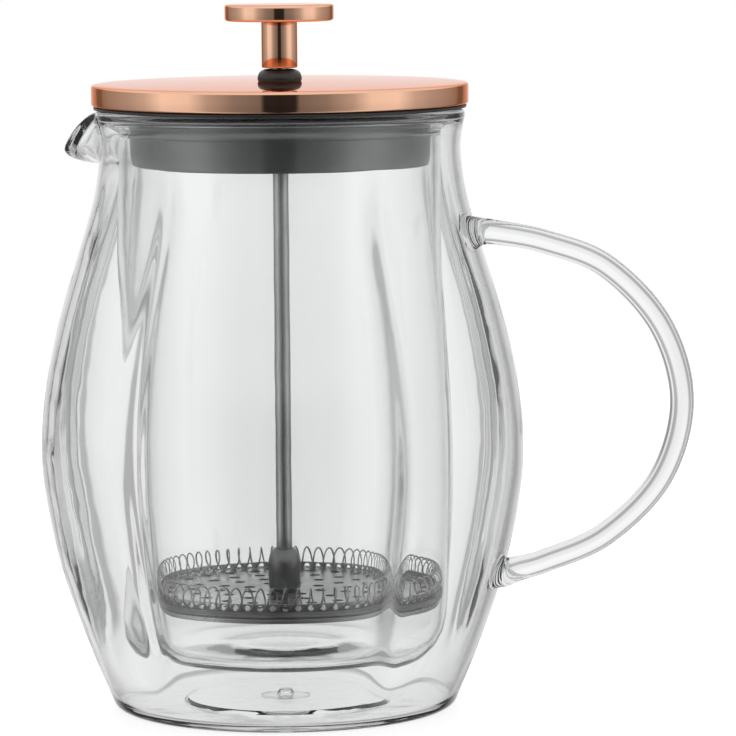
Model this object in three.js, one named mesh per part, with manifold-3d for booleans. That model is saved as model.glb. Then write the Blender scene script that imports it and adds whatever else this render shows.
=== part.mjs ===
// A double-wall glass french press, pressed down, as separate pieces in millimetres, +Z up.
// The origin is the centre of the base's underside. The handle is on +X and the spout on -X.
import * as THREE from "three";
import { mergeVertices } from "three/addons/utils/BufferGeometryUtils.js";
import Module from "manifold-3d";

const wasm = await Module();
wasm.setup();

// Fits
const GAP = 0.3; // between pieces that touch on the real object
const FULL_TURN = 2 * Math.PI;

// Double-wall glass
const RIM_Z = 174.6;
const SHELL_WALL = 2;
const SHELL_LIP_R = 53.6; // the rolled rim
const SHELL_MOUTH_R = 50.7; // where the shell meets the inner vessel
const MOUTH_GAP = 0.7; // wider than the other gaps, for the pull of the spout
const MOUTH_DEPTH = 1.4; // height of that meeting face
const BASE_FLAT_R = 47.5;
const SHELL_FLOOR = 2.2;
const FLOOR_PAD_R = 30; // the thicker middle of the shell's floor
const FLOOR_PAD = 3.2;
const LOBES = 5;
const LOBE_ARC_R = 55; // radius of each lobe's arc
const LOBE_OFFSET = 15.7; // from the axis to the arc's centre
const VESSEL_INNER_R = 44.5;
const VESSEL_WALL = 2;
const VESSEL_BOTTOM_Z = 15.6;
const VESSEL_FLOOR_Z = 19;

// Spout, a pull of the rim outwards and down
const SPOUT_REACH = 14;
const SPOUT_DROP = 10.4;
const SPOUT_LEAN = 0.3; // extra drop for each millimetre outside the vessel's inner wall
const SPOUT_START_Z = 154;
const SPOUT_HALF_ANGLE = THREE.MathUtils.degToRad(27);

// Vent plug in the base
const VENT_R = 2.2;
const VENT_HEAD_R = 7;
const VENT_HEAD = 1;

// Handle
const HANDLE_R = 3.4;
const HANDLE_FLARE_R = 6.4;

// Lid
const LID_R = 54.7;
const LID_TOP_Z = 182; // at the edge
const LID_CROWN = 0.6; // how much higher the middle is
const LID_SKIRT_Z = 176;
const LID_SHEET = 1;
const COLLAR_R = 41;
const COLLAR_FLANGE_R = 54.1; // its edge shows as a thin dark line under the cover
const COLLAR_BOTTOM_Z = 159.6;
const COLLAR_SHEET = 0.8;
const SEAL_R = 43.6;
const SEAL_FLANGE_R = 44.15;
const SEAL_BOTTOM_Z = 158.5;
const SEAL_TOP_Z = 173.4;
const SEAL_FLANGE = 5.2;
const BUSH_R = 3.9;
const BUSH_DOME_R = 6.45;
const BUSH_TOP_Z = 186.2;
const BUSH_NUT_R = 7.5;
const BUSH_NUT_Z = 156.6;

// Knob and rod
const KNOB_R = 15.8;
const KNOB_TOP_Z = 205;
const KNOB_CAP = 4.9;
const STEM_R = 5.2;
const ROD_R = 2.3;
const ROD_TOP_Z = 196;
const ROD_BOTTOM_Z = 41.6;

// Filter head, from its underside up
const CROSS_PLATE_Z = 31.7;
const CROSS_PLATE_R = 43;
const PLATE_SHEET = 0.8;
const MESH_Z = 32.8;
const MESH_SHEET = 0.4;
const MESH_R = 44.15;
const MESH_TOP_Z = 34.4;
const SPIRAL_PLATE_Z = 33.5;
const SPIRAL_PLATE_R = 41;
const SPIRAL_RIM_Z = 36;
const SPRING_Z = 38.6;
const SPRING_RING_R = 41.2;
const SPRING_COIL_R = 2;
const SPRING_WIRE_R = 0.3;
const SPRING_COILS = 42;
const HUB_R = 4.7;
const HUB_TOP_Z = 46.4;
const STUD_R = 2.3;
const STUD_HEAD_R = 5;

const glass = new THREE.MeshStandardMaterial({
  color: 0xf2f5f5,
  roughness: 0.03,
  metalness: 0,
  transparent: true,
  opacity: 0.35,
});
const roseGold = new THREE.MeshStandardMaterial({ color: 0xd9987a, roughness: 0.12, metalness: 1 });
const steel = new THREE.MeshStandardMaterial({ color: 0x9c9c9c, roughness: 0.25, metalness: 1 });
const darkSteel = new THREE.MeshStandardMaterial({ color: 0x565656, roughness: 0.35, metalness: 1 });
const silicone = new THREE.MeshStandardMaterial({ color: 0x56585a, roughness: 0.6, metalness: 0 });
const blackRubber = new THREE.MeshStandardMaterial({ color: 0x1c1f1c, roughness: 0.4, metalness: 0 });
const clearSilicone = new THREE.MeshStandardMaterial({ color: 0xe4e6e6, roughness: 0.4, metalness: 0 });

// A body of revolution about Z from [radius, height] pairs; the first segment edge lies on +X.
function lathe(profile, segments) {
  const points = profile.map(([radius, height]) => new THREE.Vector2(radius, height));
  const geometry = new THREE.LatheGeometry(points, segments, Math.PI / 2);
  return geometry.rotateX(Math.PI / 2);
}

// The same, for a profile that closes on itself.
function ring(profile, segments) {
  return lathe([...profile, profile[0]], segments);
}

// The corners of a regular polygon that stands in for a circle.
function circle(radius, sides, centreX = 0, centreY = 0) {
  return Array.from({ length: sides }, (_, i) => {
    const angle = (i / sides) * FULL_TURN;
    return new THREE.Vector2(centreX + radius * Math.cos(angle), centreY + radius * Math.sin(angle));
  });
}

function toSolid(geometry) {
  const bare = geometry.clone();
  bare.deleteAttribute("normal");
  bare.deleteAttribute("uv");
  const merged = mergeVertices(bare, 1e-4);
  return new wasm.Manifold(
    new wasm.Mesh({
      numProp: 3,
      vertProperties: new Float32Array(merged.attributes.position.array),
      triVerts: new Uint32Array(merged.index.array),
    }),
  );
}

function toGeometry(solid) {
  const { vertProperties, triVerts } = solid.getMesh();
  const geometry = new THREE.BufferGeometry();
  geometry.setAttribute("position", new THREE.BufferAttribute(vertProperties, 3));
  geometry.setIndex(new THREE.BufferAttribute(triVerts, 1));
  const shaded = geometry.toNonIndexed();
  shaded.computeVertexNormals();
  return shaded;
}

function moveVertices(geometry, move) {
  const position = geometry.attributes.position;
  const vertex = new THREE.Vector3();
  for (let i = 0; i < position.count; i += 1) {
    vertex.fromBufferAttribute(position, i);
    move(vertex);
    position.setXYZ(i, vertex.x, vertex.y, vertex.z);
  }
  geometry.computeVertexNormals();
  return geometry;
}

// How far the lobed section lies inside its crest circle at an angle about the axis and a height.
function grooveDepth(angle, z) {
  const pitch = FULL_TURN / LOBES;
  const fromCrest = angle - pitch * Math.round(angle / pitch);
  const chord = LOBE_OFFSET * Math.sin(fromCrest);
  const arc = LOBE_OFFSET * Math.cos(fromCrest) + Math.sqrt(LOBE_ARC_R ** 2 - chord ** 2);
  const rise = THREE.MathUtils.smoothstep(z, 0, 55);
  const fade = 1 - THREE.MathUtils.smoothstep(z, 135, 178);
  return (LOBE_ARC_R + LOBE_OFFSET - arc) * rise * fade;
}

function addLobes(vertex) {
  const radius = Math.hypot(vertex.x, vertex.y);
  const angle = Math.atan2(vertex.y, vertex.x);
  const scale = (radius - grooveDepth(angle, vertex.z)) / radius;
  vertex.x *= scale;
  vertex.y *= scale;
}

// The spout pulls the wall outwards on -X, most at the rim, and draws its narrow middle down into a lip.
function pullSpout(vertex) {
  const radius = Math.hypot(vertex.x, vertex.y);
  const offAxis = Math.abs(Math.atan2(vertex.y, -vertex.x));
  if (offAxis >= SPOUT_HALF_ANGLE || vertex.z <= SPOUT_START_Z) return;
  const across = Math.cos((offAxis / SPOUT_HALF_ANGLE) * (Math.PI / 2)) ** 2;
  const up = (vertex.z - SPOUT_START_Z) / (RIM_Z - SPOUT_START_Z);
  const scale = (radius + SPOUT_REACH * across * up ** 1.75) / radius;
  const drop = SPOUT_DROP + SPOUT_LEAN * (radius - VESSEL_INNER_R);
  vertex.x *= scale;
  vertex.y *= scale;
  vertex.z -= drop * across ** 3 * THREE.MathUtils.smoothstep(up, 0, 1);
}

// Crest line of the shell's outer wall, from the base corner up to the rolled rim.
const SHELL_CREST = [
  [50.9, 3.4],
  [57.4, 19],
  [65.4, 42],
  [69.9, 64],
  [70.8, 79],
  [69.3, 95],
  [65.2, 114],
  [58.9, 135],
  [54.2, 151],
  [52.5, 164],
  [SHELL_LIP_R, 172.4],
];

function crestPoints(inset) {
  return SHELL_CREST.map(([radius, z]) => [radius - inset, z]);
}

function outerGlassShell() {
  const profile = [
    [VENT_HEAD_R + GAP, 0],
    [BASE_FLAT_R, 0],
    [BASE_FLAT_R + 2.4, 1.1],
    ...crestPoints(0),
    [SHELL_LIP_R - 1.2, RIM_Z],
    [SHELL_MOUTH_R, RIM_Z],
    [SHELL_MOUTH_R, RIM_Z - MOUTH_DEPTH],
    ...crestPoints(SHELL_WALL).reverse(),
    [BASE_FLAT_R - 1, SHELL_FLOOR],
    [FLOOR_PAD_R, SHELL_FLOOR],
    [FLOOR_PAD_R - 1, FLOOR_PAD],
    [VENT_R, FLOOR_PAD],
    [VENT_R, VENT_HEAD + GAP],
    [VENT_HEAD_R + GAP, VENT_HEAD + GAP],
  ];
  const geometry = moveVertices(ring(profile, 10 * LOBES), addLobes);
  return moveVertices(geometry, pullSpout);
}

function innerGlassVessel() {
  const outerR = VESSEL_INNER_R + VESSEL_WALL;
  const profile = [
    [0, VESSEL_BOTTOM_Z],
    [outerR - 9, VESSEL_BOTTOM_Z],
    [outerR - 2.6, VESSEL_BOTTOM_Z + 2.6],
    [outerR, VESSEL_BOTTOM_Z + 9],
    [outerR, 159],
    [outerR, 166],
    [outerR + 0.6, RIM_Z - 3.2],
    [SHELL_MOUTH_R - MOUTH_GAP, RIM_Z - MOUTH_DEPTH],
    [SHELL_MOUTH_R - MOUTH_GAP, RIM_Z],
    [SHELL_MOUTH_R - 2, RIM_Z],
    [VESSEL_INNER_R + 1, RIM_Z - 1.6],
    [VESSEL_INNER_R, RIM_Z - 3.4],
    [VESSEL_INNER_R, 166],
    [VESSEL_INNER_R, 159],
    [VESSEL_INNER_R, VESSEL_FLOOR_Z + 7.5],
    [VESSEL_INNER_R - 2.2, VESSEL_FLOOR_Z + 2.2],
    [VESSEL_INNER_R - 7.5, VESSEL_FLOOR_Z],
    [0, VESSEL_FLOOR_Z],
  ];
  return moveVertices(lathe(profile, 10 * LOBES), pullSpout);
}

function handleFlare(x, z, directionX, directionZ) {
  const profile = [
    [0, -5],
    [HANDLE_FLARE_R, -5],
    [HANDLE_FLARE_R - 0.4, 0],
    [HANDLE_R + 1.2, 3],
    [HANDLE_R + 0.1, 8],
    [0, 8],
  ];
  const direction = new THREE.Vector3(directionX, 0, directionZ).normalize();
  const turn = new THREE.Quaternion().setFromUnitVectors(new THREE.Vector3(0, 0, 1), direction);
  return lathe(profile, 12).applyQuaternion(turn).translate(x, 0, z);
}

// A round rod bent into a loop; its ends are cut to the shell's lobed outside.
function glassHandle() {
  const centreLine = new THREE.CatmullRomCurve3([
    new THREE.Vector3(52, 0, 139.6),
    new THREE.Vector3(66, 0, 139.2),
    new THREE.Vector3(80, 0, 137.4),
    new THREE.Vector3(98, 0, 130.8),
    new THREE.Vector3(114, 0, 114.5),
    new THREE.Vector3(120.2, 0, 93),
    new THREE.Vector3(114, 0, 71),
    new THREE.Vector3(97.6, 0, 54),
    new THREE.Vector3(79.8, 0, 45.6),
    new THREE.Vector3(66, 0, 42.2),
    new THREE.Vector3(57, 0, 40.6),
  ]);
  const section = new THREE.Shape(circle(HANDLE_R, 10));
  const rod = new THREE.ExtrudeGeometry(section, { steps: 30, extrudePath: centreLine });
  const body = [[0, 4], ...crestPoints(-GAP), [0, 172]];
  const envelope = moveVertices(lathe(body, 10 * LOBES), addLobes);
  const loop = toSolid(rod)
    .add(toSolid(handleFlare(58, 139.4, 1, -0.03)))
    .add(toSolid(handleFlare(65.2, 42.1, 1, 0.22)));
  return toGeometry(loop.subtract(toSolid(envelope)));
}

function baseVentPlug() {
  return lathe(
    [
      [0, 0],
      [VENT_HEAD_R, 0],
      [VENT_HEAD_R, VENT_HEAD],
      [VENT_R - GAP, VENT_HEAD],
      [VENT_R - GAP, FLOOR_PAD + GAP],
      [VENT_R + 0.6, FLOOR_PAD + GAP + 0.4],
      [VENT_R - GAP, FLOOR_PAD + 2.2],
      [0, FLOOR_PAD + 2.2],
    ],
    16,
  );
}

function lidCover() {
  const underside = LID_TOP_Z - LID_SHEET;
  return ring(
    [
      [BUSH_R + GAP, underside],
      [LID_R - LID_SHEET - 0.6, underside],
      [LID_R - LID_SHEET, underside - 0.6],
      [LID_R - LID_SHEET, LID_SKIRT_Z],
      [LID_R - 0.3, LID_SKIRT_Z],
      [LID_R, LID_SKIRT_Z + 0.5],
      [LID_R, LID_TOP_Z - 1.1],
      [LID_R - 0.3, LID_TOP_Z - 0.4],
      [LID_R - 1.1, LID_TOP_Z],
      [LID_R / 2, LID_TOP_Z + 0.75 * LID_CROWN],
      [BUSH_R + GAP, LID_TOP_Z + LID_CROWN],
    ],
    48,
  );
}

// A cup that hangs from a flange on the glass rim.
function lidCollar() {
  const flangeZ = RIM_Z + GAP;
  return ring(
    [
      [BUSH_R + GAP, COLLAR_BOTTOM_Z],
      [COLLAR_R - 1, COLLAR_BOTTOM_Z],
      [COLLAR_R, COLLAR_BOTTOM_Z + 1],
      [COLLAR_R, flangeZ],
      [COLLAR_FLANGE_R, flangeZ],
      [COLLAR_FLANGE_R, flangeZ + COLLAR_SHEET],
      [COLLAR_R - COLLAR_SHEET, flangeZ + COLLAR_SHEET],
      [COLLAR_R - COLLAR_SHEET, COLLAR_BOTTOM_Z + COLLAR_SHEET],
      [BUSH_R + GAP, COLLAR_BOTTOM_Z + COLLAR_SHEET],
    ],
    40,
  );
}

function lidSeal() {
  const flangeZ = SEAL_TOP_Z - SEAL_FLANGE;
  return ring(
    [
      [COLLAR_R + GAP, SEAL_BOTTOM_Z],
      [SEAL_R - 0.8, SEAL_BOTTOM_Z],
      [SEAL_R - 0.4, SEAL_BOTTOM_Z + 0.5],
      [SEAL_R, flangeZ - 0.3],
      [SEAL_FLANGE_R, flangeZ],
      [SEAL_FLANGE_R, SEAL_TOP_Z - 0.6],
      [SEAL_FLANGE_R - 0.5, SEAL_TOP_Z],
      [COLLAR_R + GAP, SEAL_TOP_Z],
    ],
    40,
  );
}

function lidBush() {
  const bore = ROD_R + GAP;
  const domeZ = LID_TOP_Z + LID_CROWN + GAP;
  return ring(
    [
      [bore, BUSH_NUT_Z],
      [BUSH_R, BUSH_NUT_Z],
      [BUSH_R, domeZ],
      [BUSH_DOME_R, domeZ],
      [BUSH_DOME_R - 0.4, domeZ + 1.3],
      [BUSH_DOME_R - 1.6, BUSH_TOP_Z - 0.3],
      [BUSH_DOME_R - 2.6, BUSH_TOP_Z],
      [bore, BUSH_TOP_Z],
    ],
    24,
  );
}

function lidBushNut() {
  const section = new THREE.Shape(circle(BUSH_NUT_R, 6));
  section.holes.push(new THREE.Path(circle(BUSH_R + GAP, 18)));
  const depth = COLLAR_BOTTOM_Z - GAP - BUSH_NUT_Z;
  const nut = new THREE.ExtrudeGeometry(section, { depth, bevelEnabled: false });
  return nut.translate(0, 0, BUSH_NUT_Z);
}

// A disc with rounded edges and a socket below for the stem.
function knobCap() {
  const bottomZ = KNOB_TOP_Z - KNOB_CAP;
  const socket = STEM_R - 1 + GAP;
  return lathe(
    [
      [0, bottomZ + 2.5],
      [socket, bottomZ + 2.5],
      [socket, bottomZ],
      [KNOB_R - 0.8, bottomZ],
      [KNOB_R, bottomZ + 0.8],
      [KNOB_R, KNOB_TOP_Z - 0.9],
      [KNOB_R - 0.3, KNOB_TOP_Z - 0.3],
      [KNOB_R - 0.9, KNOB_TOP_Z],
      [0, KNOB_TOP_Z],
    ],
    40,
  );
}

function knobStem() {
  const bottomZ = BUSH_TOP_Z + GAP;
  const shoulderZ = KNOB_TOP_Z - KNOB_CAP - GAP;
  const bore = ROD_R + GAP;
  return lathe(
    [
      [bore, bottomZ],
      [STEM_R - 0.4, bottomZ],
      [STEM_R, bottomZ + 0.4],
      [STEM_R, shoulderZ],
      [STEM_R - 1, shoulderZ],
      [STEM_R - 1, shoulderZ + 2.4],
      [0, shoulderZ + 2.4],
      [0, ROD_TOP_Z + GAP],
      [bore, ROD_TOP_Z + GAP],
      [bore, bottomZ],
    ],
    24,
  );
}

function plungerRod() {
  return lathe(
    [
      [0, ROD_BOTTOM_Z],
      [ROD_R, ROD_BOTTOM_Z],
      [ROD_R, ROD_TOP_Z],
      [0, ROD_TOP_Z],
    ],
    16,
  );
}

function rodHub() {
  const bore = STUD_R + GAP;
  const bottomZ = SPIRAL_PLATE_Z + PLATE_SHEET + GAP;
  return ring(
    [
      [bore, bottomZ],
      [HUB_R, bottomZ],
      [HUB_R, HUB_TOP_Z - 2.2],
      [HUB_R - 0.5, HUB_TOP_Z - 1],
      [HUB_R - 1.5, HUB_TOP_Z],
      [bore, HUB_TOP_Z],
    ],
    24,
  );
}

// A flat round plate with a centre hole and rings of round openings.
function perforatedDisc(radius, z, openings) {
  const plate = new THREE.Shape(circle(radius, 40));
  plate.holes.push(new THREE.Path(circle(STUD_R + GAP, 16)));
  for (const { ringR, holeR, count } of openings) {
    for (const centre of circle(ringR, count)) {
      plate.holes.push(new THREE.Path(circle(holeR, 8, centre.x, centre.y)));
    }
  }
  const disc = new THREE.ExtrudeGeometry(plate, { depth: PLATE_SHEET, bevelEnabled: false });
  return disc.translate(0, 0, z);
}

function plateRim(innerR, outerR, lowZ, highZ) {
  return ring(
    [
      [innerR, lowZ],
      [outerR, lowZ],
      [outerR, highZ],
      [innerR, highZ],
    ],
    40,
  );
}

function spiralPlate() {
  const disc = perforatedDisc(SPIRAL_PLATE_R - 0.5, SPIRAL_PLATE_Z, [
    { ringR: 11, holeR: 1.7, count: 8 },
    { ringR: 19, holeR: 1.7, count: 14 },
    { ringR: 27, holeR: 1.7, count: 20 },
    { ringR: 35, holeR: 1.7, count: 26 },
  ]);
  const rim = plateRim(SPIRAL_PLATE_R - 1, SPIRAL_PLATE_R, SPIRAL_PLATE_Z, SPIRAL_RIM_Z);
  return toGeometry(toSolid(disc).add(toSolid(rim)));
}

function crossPlate() {
  const disc = perforatedDisc(CROSS_PLATE_R - 0.5, CROSS_PLATE_Z, [
    { ringR: 14, holeR: 4.5, count: 6 },
    { ringR: 30, holeR: 7.5, count: 8 },
  ]);
  const rim = plateRim(CROSS_PLATE_R - 1, CROSS_PLATE_R, CROSS_PLATE_Z - 0.8, CROSS_PLATE_Z + PLATE_SHEET);
  return toGeometry(toSolid(disc).add(toSolid(rim)));
}

// The woven mesh is a thin dish here: a disc with its edge turned up.
function filterMesh() {
  return ring(
    [
      [STUD_R + GAP, MESH_Z],
      [MESH_R - 0.5, MESH_Z],
      [MESH_R, MESH_Z + 0.6],
      [MESH_R, MESH_TOP_Z],
      [MESH_R - MESH_SHEET, MESH_TOP_Z],
      [MESH_R - MESH_SHEET, MESH_Z + 0.8],
      [MESH_R - 0.8, MESH_Z + MESH_SHEET],
      [STUD_R + GAP, MESH_Z + MESH_SHEET],
    ],
    40,
  );
}

// The centre line of a helical spring bent into a ring, just short of closing.
class CoilRing extends THREE.Curve {
  getPoint(t, target = new THREE.Vector3()) {
    const around = t * FULL_TURN * 0.995;
    const coil = around * SPRING_COILS;
    const radius = SPRING_RING_R + SPRING_COIL_R * Math.cos(coil);
    const x = radius * Math.cos(around);
    const y = radius * Math.sin(around);
    return target.set(x, y, SPRING_Z + SPRING_COIL_R * Math.sin(coil));
  }
}

function edgeSpring() {
  const extrudePath = new CoilRing();
  extrudePath.arcLengthDivisions = SPRING_COILS * 24;
  const wire = new THREE.Shape(circle(SPRING_WIRE_R, 3));
  return new THREE.ExtrudeGeometry(wire, { steps: SPRING_COILS * 6, extrudePath });
}

function filterStud() {
  const headTopZ = CROSS_PLATE_Z - GAP;
  return lathe(
    [
      [0, headTopZ - 1],
      [STUD_HEAD_R, headTopZ - 1],
      [STUD_HEAD_R, headTopZ],
      [STUD_R, headTopZ],
      [STUD_R, ROD_BOTTOM_Z - GAP],
      [0, ROD_BOTTOM_Z - GAP],
    ],
    16,
  );
}

function piece(name, geometry, material) {
  const mesh = new THREE.Mesh(geometry, material);
  mesh.name = name;
  return mesh;
}

const vessel = new THREE.Group();
vessel.add(
  piece("outer_glass_shell", outerGlassShell(), glass),
  piece("inner_glass_vessel", innerGlassVessel(), glass),
  piece("glass_handle", glassHandle(), glass),
  piece("base_vent_plug", baseVentPlug(), clearSilicone),
);

const lid = new THREE.Group();
lid.add(
  piece("lid_cover", lidCover(), roseGold),
  piece("lid_collar", lidCollar(), steel),
  piece("lid_seal", lidSeal(), silicone),
  piece("lid_bush", lidBush(), blackRubber),
  piece("lid_bush_nut", lidBushNut(), steel),
);

const plunger = new THREE.Group();
plunger.add(
  piece("knob_cap", knobCap(), roseGold),
  piece("knob_stem", knobStem(), roseGold),
  piece("plunger_rod", plungerRod(), steel),
  piece("rod_hub", rodHub(), darkSteel),
);

const filter = new THREE.Group();
filter.add(
  piece("spiral_plate", spiralPlate(), steel),
  piece("edge_spring", edgeSpring(), steel),
  piece("filter_mesh", filterMesh(), steel),
  piece("cross_plate", crossPlate(), steel),
  piece("filter_stud", filterStud(), steel),
);

const press = new THREE.Group();
press.add(vessel, lid, plunger, filter);

export default press;
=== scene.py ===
# %% [markdown]
# # A double-wall glass french press
#
# The press is a lobed glass pot with a second, straight glass vessel inside it, a polished
# rose-gold lid, and a plunger that carries a filter head. A CAD frame already says where every
# piece sits and how it moves. This lesson builds the finished surfaces around that frame: turned
# metal, blown glass, a coil spring and a woven mesh. Most pieces of a press are round, so most
# of them are one outline turned about the upright axis.

import math

import bmesh
import bpy
from mathutils import Matrix, Vector


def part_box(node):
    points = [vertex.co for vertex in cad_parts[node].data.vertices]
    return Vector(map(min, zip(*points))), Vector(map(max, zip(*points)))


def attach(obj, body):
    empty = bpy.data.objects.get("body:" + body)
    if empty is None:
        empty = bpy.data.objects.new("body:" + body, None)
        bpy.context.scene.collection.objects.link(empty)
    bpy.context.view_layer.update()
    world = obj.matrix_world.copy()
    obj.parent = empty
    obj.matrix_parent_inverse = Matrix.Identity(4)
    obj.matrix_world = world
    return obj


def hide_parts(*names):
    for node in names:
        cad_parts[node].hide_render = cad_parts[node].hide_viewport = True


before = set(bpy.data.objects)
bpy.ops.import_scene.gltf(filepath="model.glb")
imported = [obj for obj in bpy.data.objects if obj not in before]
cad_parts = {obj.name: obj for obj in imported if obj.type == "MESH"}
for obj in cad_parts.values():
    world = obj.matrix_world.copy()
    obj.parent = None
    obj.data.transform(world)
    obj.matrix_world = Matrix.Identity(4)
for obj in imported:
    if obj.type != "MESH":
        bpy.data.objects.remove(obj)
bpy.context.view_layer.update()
bpy.ops.object.select_all(action="DESELECT")

# %% [markdown]
# ## The camera
#
# A long lens far away keeps the pot's sides nearly parallel, as product pictures do. The camera
# stands a little above the table, in front and towards the handle. A level camera would be
# simpler, but it would hide the top of the lid and the inside of the filter.

# %% Place the camera
MM = 0.001
FULL_TURN = 2 * math.pi
CAMERA_AZIMUTH = math.radians(19.75)  # from the front, towards the handle
CAMERA_DISTANCE = 1.335
CAMERA_HEIGHT = 0.2437
CAMERA_PAN = math.radians(-1.07)  # the handle's side has more room
CAMERA_DIP = math.radians(6.196)
CAMERA_ROLL = math.radians(-0.449)

bpy.ops.object.camera_add()
camera = bpy.context.object
camera.data.lens = 225.1
camera.data.sensor_width = 36
camera.data.clip_end = 50
turn_to_pot = Matrix.Rotation(CAMERA_AZIMUTH + CAMERA_PAN, 4, "Z")
look_down = Matrix.Rotation(math.pi / 2 - CAMERA_DIP, 4, "X")
roll = Matrix.Rotation(CAMERA_ROLL, 4, "Z")
stand = Vector(
    (
        CAMERA_DISTANCE * math.sin(CAMERA_AZIMUTH),
        -CAMERA_DISTANCE * math.cos(CAMERA_AZIMUTH),
        CAMERA_HEIGHT,
    )
)
camera.matrix_world = Matrix.Translation(stand) @ turn_to_pot @ look_down @ roll
bpy.context.scene.camera = camera
print("camera at", [round(v, 3) for v in stand])

# %% [markdown]
# ## The studio light
#
# Clear glass and polished metal have no look of their own: they show the room. To show glass, a
# studio stands the pot before a white backdrop, sets a soft light at each side and keeps
# the camera's own side dark. The backdrop makes the glass bright, and the dark gaps between the
# lights draw its edges. Area lights could do this, but they bring noise, so the world itself is
# painted by compass angle from the camera. Light that only passed through glass sees a second
# ring, told by how far the glass has bent it, so every edge of the glass is drawn alike, and it is
# bright at the front and sides too, so the pot stays clear from every side.


# %% Paint the light ring in the world
def link(nodes, source, output, target, socket):
    nodes.id_data.links.new(source.outputs[output], target.inputs[socket])


def math_node(nodes, operation, first, second=None, third=None):
    node = nodes.new("ShaderNodeMath")
    node.operation = operation
    for socket, value in zip(node.inputs, (first, second, third)):
        if value is None:
            continue
        if isinstance(value, (int, float)):
            socket.default_value = value
        else:
            nodes.id_data.links.new(value, socket)
    return node.outputs[0]


def brightness_ramp(nodes, factor, stops):
    node = nodes.new("ShaderNodeValToRGB")
    elements = node.color_ramp.elements
    elements[0].color = (*[stops[0][1]] * 3, 1)
    elements[1].color = (*[stops[-1][1]] * 3, 1)
    for degrees, level in stops[1:-1]:
        elements.new(degrees / 180).color = (level, level, level, 1)
    nodes.id_data.links.new(factor, node.inputs["Fac"])
    return node.outputs["Color"]


# (angle from the camera's side in degrees, brightness)
REFLECTED_RING = [
    (0, 0.025), (9.5, 0.03), (12, 0.22), (28, 0.3), (45, 0.56), (57, 1.0), (76, 1.08), (90, 0.66),
    (105, 0.5), (125, 0.42), (136, 0.36), (140, 0.22), (148, 0.24), (152, 0.55), (164, 0.92), (180, 1.0),
]
PASSED_RING = [
    (0, 1.0), (24, 1.0), (34, 0.4), (50, 0.5), (62, 1.0), (92, 1.0), (104, 0.34),
    (132, 0.28), (138, 0.9), (145, 0.92), (149, 0.42), (157, 0.46), (163, 0.95), (180, 1.0),
]
SKY, GROUND = 1.0, 0.88  # light from above, and from the table's side

world = bpy.data.worlds.new("soft_studio")
bpy.context.scene.world = world
world.use_nodes = True
nodes = world.node_tree.nodes
nodes.clear()
direction = nodes.new("ShaderNodeTexCoord")
parts = nodes.new("ShaderNodeSeparateXYZ")
link(nodes, direction, "Generated", parts, 0)
compass = math_node(nodes, "ARCTAN2", parts.outputs["X"], math_node(nodes, "MULTIPLY", parts.outputs["Y"], -1))
turned_away = math_node(nodes, "WRAP", math_node(nodes, "SUBTRACT", compass, CAMERA_AZIMUTH), math.pi, -math.pi)
half_circle = math_node(nodes, "DIVIDE", math_node(nodes, "ABSOLUTE", turned_away), math.pi)
reflected = brightness_ramp(nodes, half_circle, REFLECTED_RING)
away_from_camera = nodes.new("ShaderNodeVectorMath")
away_from_camera.operation = "DOT_PRODUCT"
link(nodes, direction, "Generated", away_from_camera, 0)
away_from_camera.inputs[1].default_value = (math.sin(CAMERA_AZIMUTH), -math.cos(CAMERA_AZIMUTH), 0)
turned_through = math_node(nodes, "DIVIDE", math_node(nodes, "ARCCOSINE", away_from_camera.outputs["Value"]), math.pi)
passed = brightness_ramp(nodes, turned_through, PASSED_RING)
path = nodes.new("ShaderNodeLightPath")
bounces = math_node(nodes, "ADD", path.outputs["Glossy Depth"], path.outputs["Diffuse Depth"])
bounced = math_node(nodes, "GREATER_THAN", bounces, 0.5)


def mix_light(nodes, factor, first, second, blend="MIX"):
    node = nodes.new("ShaderNodeMix")
    node.data_type = "RGBA"
    node.blend_type = blend
    for socket, value in ((node.inputs["Factor"], factor), (node.inputs[6], first), (node.inputs[7], second)):
        if isinstance(value, tuple):
            socket.default_value = value
        else:
            nodes.id_data.links.new(value, socket)
    return node.outputs[2]




def change_by_height(light, level, from_z, to_z, blend="MIX"):
    """Blends the light towards a level as the direction climbs or dips from one height to the other."""
    steepness = nodes.new("ShaderNodeMapRange")
    steepness.interpolation_type = "SMOOTHSTEP"
    steepness.inputs["From Min"].default_value = from_z
    steepness.inputs["From Max"].default_value = to_z
    link(nodes, parts, "Z", steepness, "Value")
    return mix_light(nodes, steepness.outputs["Result"], light, (level, level, level, 1), blend)


for from_z, to_z in ((0.5, 0.85), (-0.35, -0.7)):
    passed = change_by_height(passed, SKY, from_z, to_z)
reflected = change_by_height(reflected, SKY, 0.12, 0.32)
# Light that turned back inside one thick piece of glass, as in the spout and the welds, is softened.
SOFTENING = 0.6
entered = math_node(nodes, "GREATER_THAN", path.outputs["Transmission Depth"], 0.5)
few_walls = math_node(nodes, "LESS_THAN", path.outputs["Transmission Depth"], 5.5)
turned_back = math_node(nodes, "MULTIPLY", math_node(nodes, "MULTIPLY", entered, few_walls), SOFTENING)
reflected = mix_light(nodes, turned_back, reflected, (0.5, 0.5, 0.5, 1))
ring = mix_light(nodes, bounced, passed, reflected)
ring = change_by_height(ring, GROUND, -0.02, -0.2, "MULTIPLY")
ring = mix_light(nodes, path.outputs["Is Camera Ray"], ring, (1.0, 1.0, 1.0, 1))
background = nodes.new("ShaderNodeBackground")
nodes.id_data.links.new(ring, background.inputs["Color"])
output = nodes.new("ShaderNodeOutputWorld")
link(nodes, background, "Background", output, "Surface")

scene = bpy.context.scene
scene.view_settings.view_transform = "Standard"
scene.cycles.max_bounces = 28
scene.cycles.transmission_bounces = 28
scene.cycles.glossy_bounces = 10
scene.cycles.transparent_max_bounces = 16
print("light ring:", len(REFLECTED_RING), "stops")

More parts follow.
